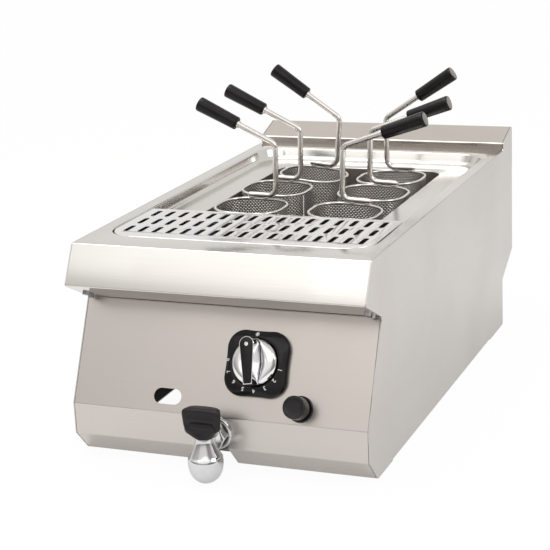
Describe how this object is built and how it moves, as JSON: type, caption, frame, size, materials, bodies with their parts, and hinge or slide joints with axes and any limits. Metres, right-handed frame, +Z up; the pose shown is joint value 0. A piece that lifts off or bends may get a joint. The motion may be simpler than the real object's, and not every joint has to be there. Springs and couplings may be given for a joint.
{
  "type": "countertop pasta cooker",
  "caption": "Countertop gas pasta cooker: stainless cabinet, recessed tank, lift-out mesh baskets with black grips, slotted drain tray, control knob, igniter button and front drain tap.",
  "frame": {"origin": "middle of the object's box, on the table", "axes": "+X to the user's right, +Y from the front panel to the back, +Z up"},
  "size_m": [0.4, 0.7921, 0.4247],
  "materials": {
    "worktop_steel": "satin stainless sheet",
    "side_steel": "fine-brushed stainless sheet",
    "panel_steel": "fine-brushed stainless sheet, warm tone",
    "inner_steel": "plain steel sheet",
    "pad_rubber": "matte black",
    "screw_steel": "bright plated",
    "burner_iron": "dark burner tube",
    "brass": "turned",
    "pipe_steel": "drawn pipe",
    "valve_aluminium": "cast",
    "ceramic": "white ceramic",
    "igniter_plastic": "gloss black",
    "knob_black": "gloss black",
    "chrome": "polished chrome",
    "lever_black": "satin black",
    "tray_steel": "bright satin stainless",
    "mesh_steel": "woven stainless wire",
    "wire_steel": "bright drawn wire",
    "grip_black": "satin black"
  },
  "bodies": {
    "cabinet": {"worktop": "worktop_steel", "tank": "worktop_steel", "false_bottom": "worktop_steel", "upstand": "worktop_steel", "flue_cover": "side_steel", "flue_duct": "inner_steel", "side_panel_left": "side_steel", "side_panel_right": "side_steel", "control_panel": "panel_steel", "rear_panel": "side_steel", "base_rail_left": "inner_steel", "base_rail_right": "inner_steel", "base_rail_front": "inner_steel", "base_rail_rear": "inner_steel", "foot_pads": "pad_rubber", "fascia_screws": "screw_steel", "heat_shield": "inner_steel", "burner_tubes": "burner_iron", "burner_bars": "inner_steel", "injector_manifold": "brass", "gas_inlet": "brass", "gas_supply_pipe": "pipe_steel", "burner_feed_pipe": "pipe_steel", "gas_valve": "valve_aluminium", "pilot_bracket": "inner_steel", "pilot_burner": "brass", "spark_electrode": "ceramic", "thermocouple": "brass", "igniter_body": "igniter_plastic", "igniter_nut": "igniter_plastic", "knob_bezel": "knob_black", "drain_pipe": "pipe_steel", "tap_flange": "chrome", "tap_body": "chrome"},
    "valve_plug": {"valve_plug": "brass"},
    "knob": {"valve_spindle": "brass", "knob_dial": "chrome", "knob_grip": "knob_black"},
    "igniter_button": {"igniter_button": "igniter_plastic"},
    "tap_handle": {"tap_stem": "brass", "tap_handle": "lever_black"},
    "drain_tray": {"drain_tray": "tray_steel"},
    "basket_front_left": {"basket_front_left_mesh": "mesh_steel", "basket_front_left_frame": "wire_steel", "basket_front_left_grip": "grip_black"},
    "basket_front_right": {"basket_front_right_mesh": "mesh_steel", "basket_front_right_frame": "wire_steel", "basket_front_right_grip": "grip_black"},
    "basket_middle_left": {"basket_middle_left_mesh": "mesh_steel", "basket_middle_left_frame": "wire_steel", "basket_middle_left_grip": "grip_black"},
    "basket_middle_right": {"basket_middle_right_mesh": "mesh_steel", "basket_middle_right_frame": "wire_steel", "basket_middle_right_grip": "grip_black"},
    "basket_back_left": {"basket_back_left_mesh": "mesh_steel", "basket_back_left_frame": "wire_steel", "basket_back_left_grip": "grip_black"},
    "basket_back_right": {"basket_back_right_mesh": "mesh_steel", "basket_back_right_frame": "wire_steel", "basket_back_right_grip": "grip_black"}
  },
  "joints": [
    {"name": "knob_turn", "type": "hinge", "parent": "cabinet", "child": "valve_plug", "pos_m": [0.0465, -0.30487, 0.136], "axis": [0, 0.9015, -0.4328], "range_deg": [0, 280]},
    {"name": "knob_press", "type": "slide", "parent": "valve_plug", "child": "knob", "axis": [0, 0.9015, -0.4328], "range_m": [0, 0.004], "stiffness_N_per_m": 900, "springref_m": -0.004},
    {"name": "igniter_press", "type": "slide", "parent": "cabinet", "child": "igniter_button", "axis": [0, 0.9015, -0.4328], "range_m": [0, 0.006], "stiffness_N_per_m": 900, "springref_m": -0.004},
    {"name": "tap_turn", "type": "hinge", "parent": "cabinet", "child": "tap_handle", "pos_m": [0, -0.3731, 0.052], "axis": [0, 0, 1], "range_deg": [0, 90]},
    {"name": "tray_lift", "type": "slide", "parent": "cabinet", "child": "drain_tray", "axis": [0, 0, 1], "range_m": [0, 0.04]},
    {"name": "basket_front_left_lift", "type": "slide", "parent": "cabinet", "child": "basket_front_left", "axis": [0, 0, 1], "range_m": [0, 0.18]},
    {"name": "basket_front_right_lift", "type": "slide", "parent": "cabinet", "child": "basket_front_right", "axis": [0, 0, 1], "range_m": [0, 0.18]},
    {"name": "basket_middle_left_lift", "type": "slide", "parent": "cabinet", "child": "basket_middle_left", "axis": [0, 0, 1], "range_m": [0, 0.18]},
    {"name": "basket_middle_right_lift", "type": "slide", "parent": "cabinet", "child": "basket_middle_right", "axis": [0, 0, 1], "range_m": [0, 0.18]},
    {"name": "basket_back_left_lift", "type": "slide", "parent": "cabinet", "child": "basket_back_left", "axis": [0, 0, 1], "range_m": [0, 0.18]},
    {"name": "basket_back_right_lift", "type": "slide", "parent": "cabinet", "child": "basket_back_right", "axis": [0, 0, 1], "range_m": [0, 0.18]}
  ]
}
